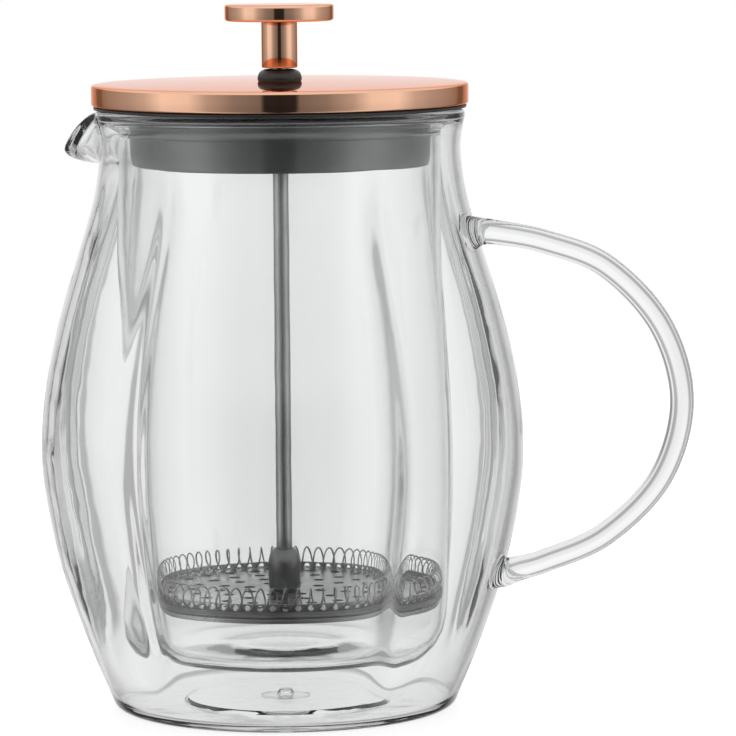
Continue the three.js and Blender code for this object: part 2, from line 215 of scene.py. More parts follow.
# %% [markdown]
# ## Outlines and turning
#
# A lathe part is drawn as the outline of one half and turned. Here the outline starts as one
# point and is extruded from corner to corner. A corner can be rounded on its own before the
# turn, with a vertex bevel, which gives every edge its true radius. A cylinder with a bevel
# would work for plain discs, but not for grooves, cups and domes.


# %% Draw and turn an outline
def only(piece):
    if bpy.context.object and bpy.context.object.mode == "EDIT":
        bpy.ops.object.mode_set(mode="OBJECT")
    bpy.ops.object.select_all(action="DESELECT")
    piece.select_set(True)
    bpy.context.view_layer.objects.active = piece


def draw_outline(name, corners):
    """Leaves a chain of edges in edit mode. A corner is (radius, height) or (radius, height, rounding), in mm."""
    bpy.ops.object.select_all(action="DESELECT")
    bpy.ops.mesh.primitive_plane_add(size=MM)
    piece = bpy.context.object
    piece.name = piece.data.name = name
    bpy.ops.object.mode_set(mode="EDIT")
    bpy.ops.mesh.select_all(action="SELECT")
    bpy.ops.mesh.merge(type="CENTER")
    here = Vector((0, 0, 0))
    for number, corner in enumerate(corners):
        there = Vector((corner[0], 0, corner[1])) * MM
        if number == 0:
            bpy.ops.transform.translate(value=there - here)
        else:
            bpy.ops.mesh.extrude_region_move(TRANSFORM_OT_translate={"value": there - here})
        here = there
    for corner in corners:
        if len(corner) > 2:
            round_corner(piece, Vector((corner[0], 0, corner[1])) * MM, corner[2] * MM)
    return piece


def round_corner(piece, place, rounding, segments=4):
    mesh = bmesh.from_edit_mesh(piece.data)
    for vertex in mesh.verts:
        vertex.select = (vertex.co - place).length < 1e-6
    mesh.select_flush_mode()
    bmesh.update_edit_mesh(piece.data)
    bpy.ops.mesh.bevel(offset=rounding, segments=segments, affect="VERTICES", clamp_overlap=True)


def spin_outline(piece, steps):
    bpy.ops.mesh.select_all(action="SELECT")
    bpy.ops.mesh.spin(steps=steps, angle=FULL_TURN, center=(0, 0, 0), axis=(0, 0, 1))
    bpy.ops.mesh.select_all(action="SELECT")
    bpy.ops.mesh.remove_doubles(threshold=1e-7)
    bpy.ops.mesh.normals_make_consistent(inside=False)
    bpy.ops.object.mode_set(mode="OBJECT")


def smooth(piece, degrees=32):
    only(piece)
    bpy.ops.object.shade_smooth_by_angle(angle=math.radians(degrees))


def turned(name, corners, steps=96):
    piece = draw_outline(name, corners)
    spin_outline(piece, steps)
    smooth(piece)
    print(name, len(piece.data.polygons), "faces")
    return piece


def place_of(node):
    """Outer radius, lowest and highest point of a round CAD node, in mm."""
    low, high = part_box(node)
    return high.y / MM, low.z / MM, high.z / MM


def stand_for(piece, body, slot, *cad_nodes):
    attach(piece, body)
    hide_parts(*cad_nodes)

# %% [markdown]
# ## The glass pot
#
# The real pot is two blown glasses sealed together at the rim and in the base, so light meets one
# body of glass with a hollow in it. Two touching solids would show a false line where they meet.
# So the pot is one outline: up the inside of the vessel, over the rim, down the lobed outside,
# in through the vent hole, and back along both sides of the hollow.

# %% Measure the pot
SHELL_NODES = ("outer_glass_shell", "inner_glass_vessel", "glass_handle")
shell_low, shell_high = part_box("outer_glass_shell")
vessel_low, vessel_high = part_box("inner_glass_vessel")
RIM_Z = shell_high.z / MM
VESSEL_BOTTOM_Z = vessel_low.z / MM
VESSEL_R = 46.5  # outside
WALL = 2
VESSEL_FLOOR = 2.4
BASE_FLOOR = 2.2
BASE_PAD = 3.2  # the thicker middle of the base
BASE_PAD_R = 30
PLUG_RECESS_R = 7.3
PLUG_RECESS = 1.3
VENT_R = 2.5
SPOUT_START_Z = 154
HOLLOW_TOP_Z = 173.1
FLOOR_RING = 0.08  # a faint raised ring in the vessel's floor
CREST = [  # (radius, height) of the outer wall over the middle of a lobe
    (50.9, 3.4), (57.4, 19), (65.4, 42), (69.9, 64), (shell_high.x / MM, 79), (69.3, 95),
    (65.2, 114), (58.9, 135), (54.2, 151), (52.5, 164), (53.6, 172.4),
]
print("rim at", round(RIM_Z, 1), "mm, vessel floor from", round(VESSEL_BOTTOM_Z, 1), "mm")


# %% Draw the pot's outline and turn it
def flowing(points, spacing):
    """A smooth line through the points, divided about every so many mm."""
    line = []
    padded = [points[0], *points, points[-1]]
    for before, start, end, after in zip(padded, padded[1:], padded[2:], padded[3:]):
        steps = max(1, round(math.dist(start, end) / spacing))
        for step in range(steps):
            t = step / steps
            line.append(
                tuple(
                    0.5 * (2 * b + (c - a) * t + (2 * a - 5 * b + 4 * c - d) * t**2 + (3 * b - a - 3 * c + d) * t**3)
                    for a, b, c, d in zip(before, start, end, after)
                )
            )
    return [*line, tuple(points[-1])]


def rungs(radius, low, high, spacing=2.5):
    """Evenly spaced points up a straight wall, from low to high."""
    count = round(abs(high - low) / spacing)
    return [(radius, low + (high - low) * i / count) for i in range(count + 1)]


outer_crest = flowing(CREST, 3)
inner_crest = [(radius - WALL, z) for radius, z in outer_crest if z < RIM_Z - 4]
bore_r = VESSEL_R - WALL
floor_z = VESSEL_BOTTOM_Z + VESSEL_FLOOR
pot_outline = [
    (0, floor_z), (9, floor_z), (9.6, floor_z + FLOOR_RING), (17, floor_z + FLOOR_RING), (18, floor_z),
    (bore_r, floor_z, 8.8),
    *rungs(bore_r, SPOUT_START_Z, RIM_Z - 5),
    (bore_r, RIM_Z, 3.6), (49.5, RIM_Z), (51.3, RIM_Z),
    (53.7, RIM_Z, 1.7),
    *outer_crest[::-1],
    (49.7, 0, 2.3), (BASE_PAD_R, 0), (PLUG_RECESS_R, 0), (PLUG_RECESS_R, PLUG_RECESS),
    (VENT_R, PLUG_RECESS), (VENT_R, BASE_PAD), (BASE_PAD_R - 1, BASE_PAD), (BASE_PAD_R, BASE_FLOOR),
    (48, BASE_FLOOR, 1.2),
    *inner_crest,
    (51.2, HOLLOW_TOP_Z, 1), (48.8, HOLLOW_TOP_Z, 1.2),
    *rungs(VESSEL_R, RIM_Z - 5, SPOUT_START_Z),
    (VESSEL_R, VESSEL_BOTTOM_Z, 11), (0, VESSEL_BOTTOM_Z),
]
pot = draw_outline("glass_pot", pot_outline)
spin_outline(pot, 300)
print("pot outline:", len(pot_outline), "corners, turned to", len(pot.data.vertices), "points")

# %% [markdown]
# ## Lobes and spout
#
# The outer glass was blown into a mould with five flutes, so its section is five soft arcs that
# meet in grooves, and the glass is thicker behind each groove, which bends the view like a weak
# lens. The spout was pulled out of the warm rim. All are smooth moves of the wall, which no extrude
# or bevel gives, so each point is moved by a rule: where it sits round the pot and how high. The
# turn's rays are first crowded towards the grooves, where the wall bends.

# %% Press the lobes and pull the spout
LOBES = 5
RIB = 2.2  # extra glass inside each groove
RIB_WIDTH = math.radians(8)
# Blown glass is uneven: the rib left of the front lies beside its groove and fades slowly on its far side.
RIB_DRIFT = {-2: math.radians(-8)}
FAR_SIDE_WIDTH = {-2: math.radians(28)}
LOBE_PITCH = FULL_TURN / LOBES
LOBE_ARC_R = 55
LOBE_OFFSET = 15.7
GROOVE_SOFTNESS = math.radians(1.5)
RAY_CROWDING = 0.6
SPOUT_HALF_ANGLE = math.radians(27)
SPOUT_REACH = 14
SPOUT_DROP = 10.4
SPOUT_LEAN = 0.3


def smoothstep(value, low, high):
    t = min(1, max(0, (value - low) / (high - low)))
    return t * t * (3 - 2 * t)


def groove_depth(angle, z):
    from_crest = angle - LOBE_PITCH * round(angle / LOBE_PITCH)
    from_groove = LOBE_PITCH / 2 - abs(from_crest)
    softened = LOBE_PITCH / 2 - math.hypot(from_groove, GROOVE_SOFTNESS)
    chord = LOBE_OFFSET * math.sin(softened)
    arc = LOBE_OFFSET * math.cos(softened) + math.sqrt(LOBE_ARC_R**2 - chord**2)
    rise = smoothstep(z, 0, 55) * (1 - smoothstep(z, 135, 178))
    return (LOBE_ARC_R + LOBE_OFFSET - arc) * rise


def rib_depth(angle, z):
    """The wall is thickest where it first met the mould, so its inside bulges behind each groove."""
    groove = round(angle / LOBE_PITCH - 0.5)
    from_rib = angle - LOBE_PITCH * (groove + 0.5) - RIB_DRIFT.get(groove, 0)
    width = RIB_WIDTH if from_rib > 0 else FAR_SIDE_WIDTH.get(groove, RIB_WIDTH)
    return RIB * math.exp(-((from_rib / width) ** 2)) * smoothstep(z, 4, 30) * (1 - smoothstep(z, 130, 170))


def spout_pull(radius, angle, z):
    """How far the spout moves a point out and down."""
    off_axis = abs(math.remainder(angle - math.pi, FULL_TURN))
    if off_axis >= SPOUT_HALF_ANGLE or z <= SPOUT_START_Z:
        return 0, 0
    across = math.cos(off_axis / SPOUT_HALF_ANGLE * math.pi / 2) ** 2
    up = (z - SPOUT_START_Z) / (RIM_Z - SPOUT_START_Z)
    drop = SPOUT_DROP + SPOUT_LEAN * (radius - bore_r)
    return SPOUT_REACH * across * up**1.75, drop * across**1.4 * smoothstep(up, 0, 1)


hollow_side = {
    vertex.index
    for vertex in pot.data.vertices
    if any(
        math.isclose(math.hypot(vertex.co.x, vertex.co.y) / MM, radius, abs_tol=0.01)
        and math.isclose(vertex.co.z / MM, z, abs_tol=0.01)
        for radius, z in inner_crest
    )
}
for vertex in pot.data.vertices:
    radius = math.hypot(vertex.co.x, vertex.co.y) / MM
    z = vertex.co.z / MM
    angle = math.atan2(vertex.co.y, vertex.co.x)
    angle += RAY_CROWDING / LOBES * math.sin(LOBES * angle)
    if radius > VESSEL_R + 0.4 and z < RIM_Z - 0.5:
        radius -= groove_depth(angle, z)
        if vertex.index in hollow_side:
            radius -= rib_depth(angle, z)
    out, down = spout_pull(radius, angle, z)
    radius += out
    vertex.co = Vector((radius * math.cos(angle), radius * math.sin(angle), z - down)) * MM
pot.data.update()
print("lobes:", LOBES, "spout reaches", round(-min(v.co.x for v in pot.data.vertices) / MM, 1), "mm")

# %% [markdown]
# ## The handle
#
# The handle is a solid glass rod, bent warm and welded on, and it widens where it meets the wall.
# A chain of points becomes a curve, the curve gets a round bevel and a radius at each point, and
# the rod is then joined to the pot as one body of glass, as a weld does.

# %% Bend the handle and weld it on
HANDLE_R = 3.4
FLARE = 3.2  # extra radius at the weld
FLARE_LENGTH = 2.7
HANDLE_LINE = [
    (56.6, 139.2), (60.5, 140), (66, 139.8), (80, 137.4), (98, 130.8), (114, 114.5), (120.2, 93),
    (114, 71), (97.6, 54), (79.8, 45.6), (71.5, 42.9), (67.6, 41.8), (64.4, 42.3),
]


def shape_rod(piece, radius_at, resolution=10):
    """Turns a chain of edges into a round rod. radius_at gives the radius in mm at each point."""
    bpy.ops.object.mode_set(mode="OBJECT")
    only(piece)
    bpy.ops.object.convert(target="CURVE")
    curve = bpy.context.object
    curve.data.bevel_depth = MM
    curve.data.bevel_resolution = resolution
    curve.data.use_fill_caps = True
    points = curve.data.splines[0].points
    for point, radius in zip(points, radius_at(len(points))):
        point.radius = radius
    bpy.ops.object.convert(target="MESH")
    return bpy.context.object


handle_line = flowing(HANDLE_LINE, 1.2)
lengths = [0]
for start, end in zip(handle_line, handle_line[1:]):
    lengths.append(lengths[-1] + math.dist(start, end))
handle = draw_outline("glass_handle_rod", handle_line)
handle = shape_rod(
    handle,
    lambda count: [HANDLE_R + FLARE * math.exp(-min(s, lengths[-1] - s) / FLARE_LENGTH) for s in lengths],
)
only(pot)
weld = pot.modifiers.new("weld", "BOOLEAN")
weld.operation = "UNION"
weld.solver = "EXACT"
weld.object = handle
bpy.ops.object.modifier_apply(modifier=weld.name)
bpy.data.objects.remove(handle)
smooth(pot, 40)
stand_for(pot, "vessel", "glass", *SHELL_NODES)
print("handle length", round(lengths[-1]), "mm, pot now", len(pot.data.polygons), "faces")

# %% [markdown]
# ## The vent plug
#
# The hollow between the walls is sealed with a small clear plug under the base. It lies flush, and
# from above it shows as a faint ring.

# %% Turn the vent plug
plug_r, plug_low, plug_high = place_of("base_vent_plug")
vent_plug = turned(
    "vent_plug",
    [
        (0, 0.02), (plug_r, 0.02, 0.25), (plug_r, 1, 0.25), (1.9, 1), (1.9, 3.3), (2.6, 3.5, 0.1),
        (1.8, plug_high - 0.7, 0.3), (0, plug_high - 0.7),
    ],
    64,
)
stand_for(vent_plug, "vessel", "clear_silicone", "base_vent_plug")

# %% [markdown]
# ## The lid
#
# The cover is a thin sheet, drawn down into a skirt, with a slight crown and rounded edges that
# catch the light as fine lines. Under it hangs a spun steel cup. The outer edge of its flange is
# painted black as painted shade, which stands in for the shaded gap under the skirt and shows as a
# dark line, and the cup carries the grey seal. A black domed bush guides the rod.

# %% Turn the lid's pieces
cover_r, cover_low, cover_high = place_of("lid_cover")
BUSH_HOLE_R = 4.2
SHEET = 1
CROWN = 0.6
edge_z = cover_high - CROWN
ROUND_STEPS = 160


def closed(corners):
    return [*corners, corners[0][:2]]


lid_cover = turned(
    "lid_cover_polished",
    closed(
        [
            (BUSH_HOLE_R, edge_z - SHEET), (cover_r - SHEET, edge_z - SHEET, 0.6),
            (cover_r - SHEET, cover_low, 0.3), (cover_r, cover_low, 0.65), (cover_r, edge_z, 0.75),
            *[(cover_r * s, edge_z + CROWN * (1 - s * s)) for s in (0.92, 0.8, 0.65, 0.5, 0.35, 0.2)],
            (BUSH_HOLE_R, cover_high),
        ]
    ),
    ROUND_STEPS,
)
stand_for(lid_cover, "lid", "rose_gold", "lid_cover")

flange_r, cup_low, flange_top = place_of("lid_collar")
CUP_R = 41
CUP_SHEET = 0.8
lid_cup = turned(
    "lid_cup",
    closed(
        [
            (BUSH_HOLE_R, cup_low), (CUP_R, cup_low, 1), (CUP_R, flange_top - CUP_SHEET, 0.3),
            (flange_r, flange_top - CUP_SHEET, 0.25), (flange_r, flange_top, 0.25),
            (CUP_R - CUP_SHEET, flange_top, 0.4), (CUP_R - CUP_SHEET, cup_low + CUP_SHEET, 0.6),
            (BUSH_HOLE_R, cup_low + CUP_SHEET),
        ]
    ),
    ROUND_STEPS,
)
stand_for(lid_cup, "lid", "steel", "lid_collar")

seal_r, seal_low, seal_high = place_of("lid_seal")
SEAL_BODY_R = seal_r - 0.6
SEAL_BORE_R = 41.3
FLANGE_Z = seal_high - 5.2
lid_seal = turned(
    "lid_seal_ring",
    closed(
        [
            (SEAL_BORE_R, seal_low), (SEAL_BODY_R - 0.5, seal_low, 0.6), (SEAL_BODY_R, seal_low + 3),
            (SEAL_BODY_R, FLANGE_Z - 0.4, 0.3), (seal_r, FLANGE_Z, 0.35), (seal_r, seal_high, 1.3),
            (SEAL_BORE_R, seal_high),
        ]
    ),
    ROUND_STEPS,
)
stand_for(lid_seal, "lid", "grey_silicone", "lid_seal")

dome_r, bush_low, bush_high = place_of("lid_bush")
ROD_BORE_R = 2.6
dome = flowing(
    [(dome_r - 0.2, cover_high + 0.05), (dome_r, cover_high + 0.9), (dome_r - 0.5, bush_high - 1.1),
     (dome_r - 1.7, bush_high - 0.25), (dome_r - 3, bush_high)],
    0.5,
)
lid_bush = turned(
    "lid_bush_dome",
    closed([(ROD_BORE_R, bush_low), (3.9, bush_low, 0.3), (3.9, cover_high + 0.05), *dome, (ROD_BORE_R, bush_high)]),
    72,
)
stand_for(lid_bush, "lid", "black_rubber", "lid_bush")

# %% [markdown]
# ## The nut under the lid
#
# A thin hexagon nut clamps the bush. Its six corners are cut by a cone on a real nut, so the
# hexagon is a six-sided cylinder with a bore, whose rims are bevelled.

# %% Cut the nut
def cut(piece, cutter):
    only(piece)
    hole = piece.modifiers.new("hole", "BOOLEAN")
    hole.operation = "DIFFERENCE"
    hole.solver = "EXACT"
    hole.object = cutter
    bpy.ops.object.modifier_apply(modifier=hole.name)
    bpy.data.objects.remove(cutter)


def soften_edges(piece, width, segments=2, degrees=40):
    only(piece)
    bevel = piece.modifiers.new("soft_edges", "BEVEL")
    bevel.width = width * MM
    bevel.segments = segments
    bevel.limit_method = "ANGLE"
    bevel.angle_limit = math.radians(degrees)
    bpy.ops.object.modifier_apply(modifier=bevel.name)


def settle(piece):
    """Moves the place of an object into its mesh."""
    only(piece)
    bpy.ops.object.transform_apply(location=True, rotation=True, scale=True)


nut_low, nut_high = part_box("lid_bush_nut")
nut_depth = nut_high.z - nut_low.z
bpy.ops.mesh.primitive_cylinder_add(
    vertices=6,
    radius=nut_high.x,
    depth=nut_depth,
    location=(0, 0, nut_low.z + nut_depth / 2),
    rotation=(0, 0, math.pi / 6),
)
bush_nut = bpy.context.object
bush_nut.name = bush_nut.data.name = "bush_nut"
settle(bush_nut)
bpy.ops.mesh.primitive_cylinder_add(vertices=48, radius=BUSH_HOLE_R * MM, depth=0.02, location=(0, 0, nut_low.z))
cut(bush_nut, bpy.context.object)
soften_edges(bush_nut, 0.25)
smooth(bush_nut)
stand_for(bush_nut, "lid", "steel", "lid_bush_nut")
print("bush_nut", len(bush_nut.data.polygons), "faces")

# %% [markdown]
# ## Knob, stem, rod and hub
#
# These are turned parts, so each is one outline: the palm disc with its rounded rim, the tube
# below it, the long rod, and the dark nut with a coned shoulder that takes the filter's stud.

# %% Turn the plunger's pieces
knob_r, knob_low, knob_high = place_of("knob_cap")
SOCKET_R = 4.5
knob = turned(
    "knob_disc",
    [
        (0, knob_low + 2.5), (SOCKET_R, knob_low + 2.5), (SOCKET_R, knob_low, 0.15),
        (knob_r, knob_low, 0.8), (knob_r, knob_high - 0.2, 0.7), (knob_r * 0.7, knob_high - 0.06), (0, knob_high),
    ],
    128,
)
stand_for(knob, "plunger", "rose_gold", "knob_cap")

stem_r, stem_low, stem_high = place_of("knob_stem")
rod_r, rod_low, rod_high = place_of("plunger_rod")
shoulder_z = knob_low - 0.1
stem = turned(
    "knob_stem_tube",
    [
        (0, rod_high + 0.3), (ROD_BORE_R, rod_high + 0.3), (ROD_BORE_R, stem_low, 0.3), (stem_r, stem_low, 0.45),
        (stem_r, shoulder_z, 0.2), (SOCKET_R - 0.3, shoulder_z), (SOCKET_R - 0.3, stem_high, 0.3), (0, stem_high),
    ],
)
stand_for(stem, "plunger", "rose_gold", "knob_stem")

rod = turned("rod_polished", [(0, rod_low), (rod_r, rod_low, 0.4), (rod_r, rod_high, 0.4), (0, rod_high)], 48)
stand_for(rod, "plunger", "steel", "plunger_rod")

hub_r, hub_low, hub_high = place_of("rod_hub")
hub = turned(
    "hub_nut",
    closed(
        [
            (ROD_BORE_R, hub_low), (hub_r, hub_low, 0.4), (hub_r, hub_high - 3, 1.2), (3.3, hub_high - 0.1, 0.5),
            (ROD_BORE_R, hub_high - 0.1),
        ]
    ),
    72,
)
stand_for(hub, "plunger", "dark_steel", "rod_hub")

# %% [markdown]
# ## The filter's plates
#
# The upper plate is a stamped cup, with a row of small holes in its rim that the spring is
# threaded through. The lower plate has large openings. All the holes of a plate are cut by one
# cutter: a peg is drawn once and copied round the axis by a spin that duplicates.


# %% Cut rings of holes
def ring_of_pegs(count, radius, peg_r, depth, z, sideways=False):
    """Adds a ring of pegs to the mesh that is open in edit mode."""
    bpy.ops.mesh.primitive_cylinder_add(
        vertices=16,
        radius=peg_r * MM,
        depth=depth * MM,
        location=Vector((radius, 0, z)) * MM,
        rotation=(0, math.pi / 2 if sideways else 0, 0),
    )
    bpy.ops.mesh.spin(
        steps=count - 1, dupli=True, angle=FULL_TURN * (count - 1) / count, center=(0, 0, 0), axis=(0, 0, 1)
    )


def pegs_for(rings):
    bpy.ops.object.select_all(action="DESELECT")
    bpy.ops.mesh.primitive_plane_add(size=MM)
    pegs = bpy.context.object
    bpy.ops.object.mode_set(mode="EDIT")
    bpy.ops.mesh.delete(type="VERT")
    for ring_of_holes in rings:
        ring_of_pegs(**ring_of_holes)
    bpy.ops.object.mode_set(mode="OBJECT")
    print(len(pegs.data.polygons) // 18, "holes cut")
    return pegs


COILS = 72
plate_r, plate_low, plate_high = place_of("spiral_plate")
PLATE_SHEET = 0.8
PLATE_HOLE_R = 1.7
RIM_HOLE_Z = plate_low + 1.5
rim_top = plate_high + 0.2
spiral_plate = draw_outline(
    "spiral_plate_cup",
    closed(
        [
            (ROD_BORE_R, plate_low), (plate_r, plate_low, 0.8), (plate_r, rim_top, 0.15),
            (plate_r - PLATE_SHEET, rim_top, 0.15), (plate_r - PLATE_SHEET, plate_low + PLATE_SHEET, 0.3),
            (ROD_BORE_R, plate_low + PLATE_SHEET),
        ]
    ),
)
spin_outline(spiral_plate, 144)
plate_z = plate_low + PLATE_SHEET / 2
cut(
    spiral_plate,
    pegs_for(
        [
            *[
                dict(count=count, radius=radius, peg_r=PLATE_HOLE_R, depth=4, z=plate_z)
                for count, radius in ((8, 11), (14, 19), (20, 27), (26, 35))
            ],
            dict(count=COILS, radius=plate_r, peg_r=0.85, depth=4, z=RIM_HOLE_Z, sideways=True),
        ]
    ),
)
smooth(spiral_plate, 30)
stand_for(spiral_plate, "filter", "filter_steel", "spiral_plate")

cross_r, cross_low, cross_high = place_of("cross_plate")
cross_plate = draw_outline(
    "cross_plate_disc",
    closed(
        [
            (ROD_BORE_R, cross_high - PLATE_SHEET), (cross_r - 1.2, cross_high - PLATE_SHEET, 0.4),
            (cross_r - 0.8, cross_low, 0.2), (cross_r, cross_low, 0.3), (cross_r, cross_high, 0.6),
            (ROD_BORE_R, cross_high),
        ]
    ),
)
spin_outline(cross_plate, 144)
cut(
    cross_plate,
    pegs_for(
        [
            dict(count=6, radius=14, peg_r=4.5, depth=4, z=cross_high),
            dict(count=8, radius=30, peg_r=7.5, depth=4, z=cross_high),
        ]
    ),
)
smooth(cross_plate, 30)
stand_for(cross_plate, "filter", "filter_steel", "cross_plate")

stud_r, stud_low, stud_high = place_of("filter_stud")
stud = turned(
    "stud_screw",
    [
        (0, stud_low), (stud_r, stud_low, 0.3), (stud_r, stud_low + 0.9, 0.2), (2.3, stud_low + 0.9),
        (2.3, stud_high, 0.4), (0, stud_high),
    ],
    48,
)
stand_for(stud, "filter", "steel", "filter_stud")

# %% [markdown]
# ## The woven mesh
#
# The mesh is a thin dish whose edge is turned up. Its wires are finer than a picture can show, so
# the dish is a real thin shell and its weave is cut by the material.

# %% Turn the mesh dish
mesh_r, mesh_low, mesh_high = place_of("filter_mesh")
MESH_SHEET = 0.35
mesh_dish = turned(
    "mesh_dish",
    closed(
        [
            (ROD_BORE_R, mesh_low), (mesh_r, mesh_low, 0.6), (mesh_r, mesh_high, 0.15),
            (mesh_r - MESH_SHEET, mesh_high, 0.15), (mesh_r - MESH_SHEET, mesh_low + MESH_SHEET, 0.3),
            (ROD_BORE_R, mesh_low + MESH_SHEET),
        ]
    ),
    ROUND_STEPS,
)
stand_for(mesh_dish, "filter", "filter_steel", "filter_mesh")

# %% [markdown]
# ## The edge spring
#
# A coil spring runs all round the filter and presses the mesh to the glass. A screw modifier winds
# one small ring of wire into a straight spring with the right number of coils. Then every point is
# rolled up: its distance along the spring becomes an angle round the filter. The coils are a
# little flatter than round, as the glass squeezes them.

# %% Wind the spring and roll it up
spring_low, spring_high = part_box("edge_spring")
WIRE_R = 0.27
SPRING_R = 40.75
COIL_OUT_R = 2.55
spring_floor = plate_low + PLATE_SHEET + 0.1
COIL_UP_R = (spring_high.z / MM - spring_floor) / 2 - WIRE_R
spring_z = spring_floor + WIRE_R + COIL_UP_R

bpy.ops.object.select_all(action="DESELECT")
bpy.ops.mesh.primitive_circle_add(
    vertices=6, radius=WIRE_R * MM, location=(0, 0, COIL_UP_R * MM), rotation=(math.pi / 2, 0, 0), fill_type="NOTHING"
)
spring = bpy.context.object
spring.name = spring.data.name = "edge_spring_coil"
settle(spring)
winding = spring.modifiers.new("winding", "SCREW")
winding.axis = "X"
winding.steps = winding.render_steps = 14
winding.iterations = COILS
winding.screw_offset = FULL_TURN * SPRING_R * MM / COILS
bpy.ops.object.modifier_apply(modifier=winding.name)
for vertex in spring.data.vertices:
    around = vertex.co.x / (SPRING_R * MM)
    radius = SPRING_R * MM + vertex.co.y * COIL_OUT_R / COIL_UP_R
    vertex.co = Vector((radius * math.cos(around), radius * math.sin(around), vertex.co.z + spring_z * MM))
bpy.ops.object.mode_set(mode="EDIT")
bpy.ops.mesh.select_all(action="SELECT")
bpy.ops.mesh.remove_doubles(threshold=0.00005)
bpy.ops.mesh.normals_make_consistent(inside=False)
bpy.ops.object.mode_set(mode="OBJECT")
smooth(spring, 75)
stand_for(spring, "filter", "filter_steel", "edge_spring")
print("spring:", COILS, "coils,", len(spring.data.polygons), "faces")

# %% [markdown]
# ## Finishes that live
#
# No real surface has one colour and one gloss. Fingers leave patches, tools leave lines, and wire
# makes a weave. Three node groups hold these effects, and each material places them with its own
# values: handled_surface drifts tone and gloss and adds a grain, turning_lines gives the fine
# circles of a lathe or a polishing wheel, and woven_wire cuts a cloth of wire out of a sheet.


# %% Build the handled surface group
def start_group(name, inputs, outputs):
    group = bpy.data.node_groups.new(name, "ShaderNodeTree")
    for label, kind, value in inputs:
        socket = group.interface.new_socket(name=label, in_out="INPUT", socket_type=kind)
        if value is not None:
            socket.default_value = value
    for label, kind in outputs:
        group.interface.new_socket(name=label, in_out="OUTPUT", socket_type=kind)
    return group, group.nodes.new("NodeGroupInput").outputs, group.nodes.new("NodeGroupOutput").inputs


def noise(nodes, place, scale, detail=2.0):
    node = nodes.new("ShaderNodeTexNoise")
    node.inputs["Detail"].default_value = detail
    nodes.id_data.links.new(place, node.inputs["Vector"])
    nodes.id_data.links.new(scale, node.inputs["Scale"])
    return node.outputs["Fac"]


def map_range(nodes, *values, soft=False):
    """The values are: what to map, the range it has (low, high), and the range to give it (low, high)."""
    node = nodes.new("ShaderNodeMapRange")
    node.interpolation_type = "SMOOTHSTEP" if soft else "LINEAR"
    for socket, value in zip(("Value", "From Min", "From Max", "To Min", "To Max"), values):
        if isinstance(value, (int, float)):
            node.inputs[socket].default_value = value
        else:
            nodes.id_data.links.new(value, node.inputs[socket])
    return node.outputs["Result"]


FLOAT, COLOR, VECTOR = "NodeSocketFloat", "NodeSocketColor", "NodeSocketVector"
handled, given, put = start_group(
    "handled_surface",
    [
        ("Place", VECTOR, None), ("Tone", COLOR, (0.5, 0.5, 0.5, 1)), ("Worn Tone", COLOR, (0.4, 0.4, 0.4, 1)),
        ("Patches", FLOAT, 30.0), ("Gloss", FLOAT, 0.1), ("Worn Gloss", FLOAT, 0.2), ("Grain Size", FLOAT, 900.0),
    ],
    [("Color", COLOR), ("Roughness", FLOAT), ("Grain", FLOAT)],
)
clouds = noise(handled.nodes, given["Place"], given["Patches"], 4)
patches = map_range(handled.nodes, clouds, 0.35, 0.65, 0.0, 1.0, soft=True)
tone = handled.nodes.new("ShaderNodeMix")
tone.data_type = "RGBA"
for socket, source in ((0, patches), (6, given["Tone"]), (7, given["Worn Tone"])):
    handled.links.new(source, tone.inputs[socket])
handled.links.new(tone.outputs[2], put["Color"])
handled.links.new(map_range(handled.nodes, patches, 0, 1, given["Gloss"], given["Worn Gloss"]), put["Roughness"])
handled.links.new(noise(handled.nodes, given["Place"], given["Grain Size"]), put["Grain"])
print("group:", handled.name)

# %% Build the turning lines group
lathe_lines, given, put = start_group(
    "turning_lines", [("Place", VECTOR, None), ("Lines", FLOAT, 4000.0)], [("Height", FLOAT)]
)
axes = lathe_lines.nodes.new("ShaderNodeSeparateXYZ")
lathe_lines.links.new(given["Place"], axes.inputs[0])
across = lathe_lines.nodes.new("ShaderNodeCombineXYZ")
squares = [math_node(lathe_lines.nodes, "MULTIPLY", axes.outputs[i], axes.outputs[i]) for i in (0, 1)]
from_axis = math_node(lathe_lines.nodes, "SQRT", math_node(lathe_lines.nodes, "ADD", *squares))
lathe_lines.links.new(from_axis, across.inputs["X"])
lathe_lines.links.new(axes.outputs["Z"], across.inputs["Y"])
lathe_lines.links.new(noise(lathe_lines.nodes, across.outputs[0], given["Lines"], 1), put["Height"])
print("group:", lathe_lines.name)

# %% Build the woven wire group
weave, given, put = start_group(
    "woven_wire",
    [("Place", VECTOR, None), ("Pitch", FLOAT, 0.0005), ("Wire", FLOAT, 0.5), ("Wall Radius", FLOAT, 0.0435)],
    [("Mask", FLOAT), ("Height", FLOAT)],
)
nodes = weave.nodes
axes = nodes.new("ShaderNodeSeparateXYZ")
weave.links.new(given["Place"], axes.inputs[0])
x, y, z = axes.outputs
squares = [math_node(nodes, "MULTIPLY", side, side) for side in (x, y)]
from_axis = math_node(nodes, "SQRT", math_node(nodes, "ADD", *squares))
on_wall = math_node(nodes, "GREATER_THAN", from_axis, given["Wall Radius"])
on_disc = math_node(nodes, "SUBTRACT", 1, on_wall)
round_wall = math_node(nodes, "MULTIPLY", math_node(nodes, "ARCTAN2", y, x), given["Wall Radius"])
threads = []
for flat, upright in ((x, round_wall), (y, z)):
    along = math_node(
        nodes, "ADD", math_node(nodes, "MULTIPLY", flat, on_disc), math_node(nodes, "MULTIPLY", upright, on_wall)
    )
    turns = math_node(nodes, "FRACT", math_node(nodes, "DIVIDE", along, given["Pitch"]))
    off_middle = math_node(nodes, "ABSOLUTE", math_node(nodes, "SUBTRACT", turns, 0.5))
    from_middle = math_node(nodes, "MULTIPLY", off_middle, 2)
    threads.append(math_node(nodes, "SUBTRACT", 1, math_node(nodes, "DIVIDE", from_middle, given["Wire"])))
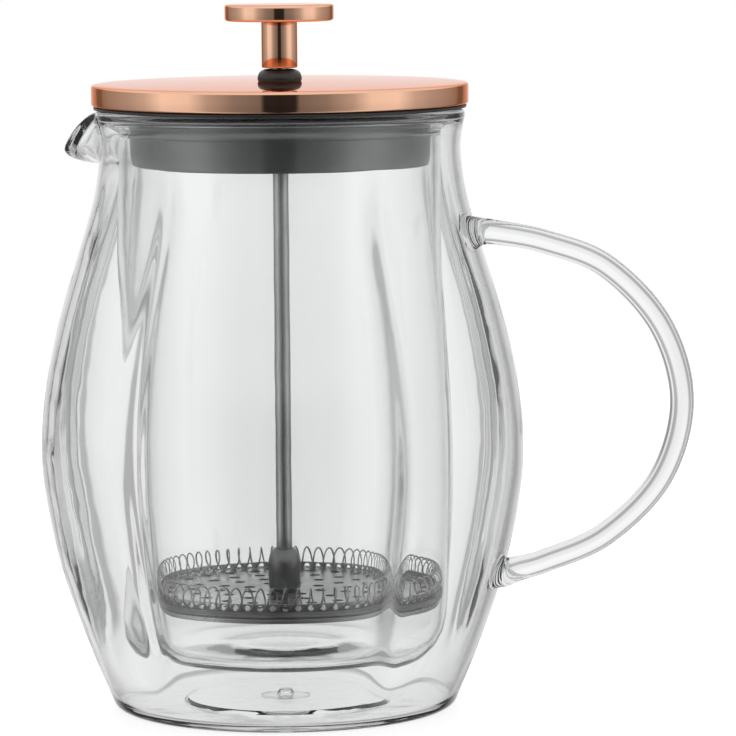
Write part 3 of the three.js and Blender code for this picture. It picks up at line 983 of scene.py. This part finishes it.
cloth = math_node(nodes, "MAXIMUM", *threads)
weave.links.new(math_node(nodes, "GREATER_THAN", cloth, 0), put["Mask"])
weave.links.new(math_node(nodes, "MAXIMUM", cloth, 0), put["Height"])
print("group:", weave.name)

# %% [markdown]
# ## The materials
#
# Each finish is one Principled shader. What is the same all over the piece, such as how metallic
# or how clear it is, is set on the shader itself, and what changes over the surface comes from the
# groups. All patterns read Object coordinates in metres, so they keep their real size.


# %% Helper for a finish
def finish(
    name, pieces, tones, gloss, patches=30, grain_size=900, grain=0.0, lines=None, line_depth=0.0, **constants
):
    """tones and gloss are pairs: the clean and the worn value. grain and line_depth are heights in mm."""
    material = bpy.data.materials.new(name)
    material.use_nodes = True
    nodes = material.node_tree.nodes
    links = material.node_tree.links
    shader = nodes["Principled BSDF"]
    place = nodes.new("ShaderNodeTexCoord").outputs["Object"]
    life = nodes.new("ShaderNodeGroup")
    life.node_tree = handled
    links.new(place, life.inputs["Place"])
    life.inputs["Tone"].default_value = (*tones[0], 1)
    life.inputs["Worn Tone"].default_value = (*tones[1], 1)
    life.inputs["Gloss"].default_value, life.inputs["Worn Gloss"].default_value = gloss
    life.inputs["Patches"].default_value = patches
    life.inputs["Grain Size"].default_value = grain_size
    links.new(life.outputs["Color"], shader.inputs["Base Color"])
    links.new(life.outputs["Roughness"], shader.inputs["Roughness"])
    height = math_node(nodes, "MULTIPLY", life.outputs["Grain"], grain)
    if lines:
        circles = nodes.new("ShaderNodeGroup")
        circles.node_tree = lathe_lines
        circles.inputs["Lines"].default_value = lines
        links.new(place, circles.inputs["Place"])
        line_height = math_node(nodes, "MULTIPLY", circles.outputs["Height"], line_depth)
        height = math_node(nodes, "ADD", height, line_height)
    bump = nodes.new("ShaderNodeBump")
    bump.inputs["Distance"].default_value = MM
    links.new(height, bump.inputs["Height"])
    links.new(bump.outputs["Normal"], shader.inputs["Normal"])
    for socket, value in constants.items():
        shader.inputs[socket.replace("_", " ")].default_value = value
    for piece in pieces:
        piece.data.materials.clear()
        piece.data.materials.append(material)
    print(name, "on", [piece.name for piece in pieces])
    return material


# %% Glass, metal, rubber
finish(
    "blown_glass", [pot], [(0.985, 0.99, 0.988), (0.98, 0.986, 0.984)], (0.0, 0.02), patches=18,
    grain_size=45, grain=0.12, Transmission_Weight=1.0, IOR=1.47,
)
finish(
    "clear_silicone_rubber", [vent_plug], [(0.97, 0.975, 0.975), (0.93, 0.94, 0.94)], (0.06, 0.14), grain=0.004,
    Transmission_Weight=1.0, IOR=1.41,
)
finish(
    "polished_rose_gold", [lid_cover, knob, stem], [(0.87, 0.52, 0.355), (0.85, 0.5, 0.34)], (0.03, 0.06), patches=22,
    grain_size=2500, grain=0.0005, lines=2600, line_depth=0.0006, Metallic=1.0, Specular_Tint=(0.88, 0.46, 0.32, 1),
)
finish(
    "polished_steel", [rod, bush_nut, stud], [(0.5, 0.5, 0.5), (0.42, 0.42, 0.42)], (0.16, 0.26), grain=0.004,
    lines=3000, line_depth=0.003, Metallic=1.0,
)
finish(
    "dark_steel", [hub], [(0.17, 0.17, 0.17), (0.13, 0.13, 0.13)], (0.22, 0.34), grain=0.006,
    lines=2500, line_depth=0.004, Metallic=1.0,
)
finish(
    "stamped_filter_steel", [spiral_plate, cross_plate, spring], [(0.36, 0.36, 0.36), (0.27, 0.27, 0.27)],
    (0.24, 0.4), grain=0.008, Metallic=1.0,
)
finish(
    "grey_silicone", [lid_seal], [(0.155, 0.158, 0.16), (0.17, 0.173, 0.175)], (0.28, 0.32), patches=40,
    grain_size=1800, grain=0.003, Metallic=0.85,
)
finish(
    "black_rubber", [lid_bush], [(0.01, 0.011, 0.01), (0.018, 0.019, 0.018)], (0.3, 0.45), patches=120,
    grain_size=2200, grain=0.01,
)
finish(
    "spun_steel", [lid_cup], [(0.9, 0.9, 0.9), (0.8, 0.8, 0.8)], (0.4, 0.5), grain=0.006,
    lines=1500, line_depth=0.006, Metallic=1.0,
)
# Painted shade: the outer edge of the cup's flange is coloured black to stand in for the shaded gap under the lid's
# skirt.
flange_shade_material = finish(
    "painted_gap_shade", [], [(0.01, 0.007, 0.006), (0.016, 0.013, 0.012)], (0.3, 0.42), grain=0.006,
)
SHADE_EDGE_WIDTH = 0.9
lid_cup.data.materials.append(flange_shade_material)
for face in lid_cup.data.polygons:
    if math.hypot(face.center.x, face.center.y) / MM > flange_r - SHADE_EDGE_WIDTH:
        face.material_index = 1

# %% Woven mesh
mesh_finish = finish(
    "woven_steel", [mesh_dish], [(0.34, 0.34, 0.34), (0.25, 0.25, 0.25)], (0.3, 0.45), patches=70,
    grain=0.004, Metallic=1.0,
)
nodes = mesh_finish.node_tree.nodes
links = mesh_finish.node_tree.links
cloth = nodes.new("ShaderNodeGroup")
cloth.node_tree = weave
cloth.inputs["Pitch"].default_value = 0.0005
cloth.inputs["Wire"].default_value = 0.5
cloth.inputs["Wall Radius"].default_value = (mesh_r - 0.6) * MM
links.new(nodes["Texture Coordinate"].outputs["Object"], cloth.inputs["Place"])
shader = nodes["Principled BSDF"]
links.new(cloth.outputs["Mask"], shader.inputs["Alpha"])
links.new(math_node(nodes, "MULTIPLY", cloth.outputs["Height"], 0.15), nodes["Bump"].inputs["Height"])

# %% [markdown]
# ## The table
#
# A plain pale disc stands for the table. It glows a little, as a lit white sweep does, and the
# rest of its brightness comes from the room, so the pot still leaves a faint soft shadow.

# %% Lay the table
bpy.ops.object.select_all(action="DESELECT")
bpy.ops.mesh.primitive_circle_add(vertices=96, radius=0.85, fill_type="NGON")
table = bpy.context.object
table.name = "pale_table"
finish(
    "pale_table_top", [table], [(0.34, 0.34, 0.34), (0.33, 0.33, 0.33)], (0.6, 0.7), patches=4,
    Emission_Color=(1, 1, 1, 1), Emission_Strength=0.8,
)
table.visible_glossy = False
table.visible_transmission = False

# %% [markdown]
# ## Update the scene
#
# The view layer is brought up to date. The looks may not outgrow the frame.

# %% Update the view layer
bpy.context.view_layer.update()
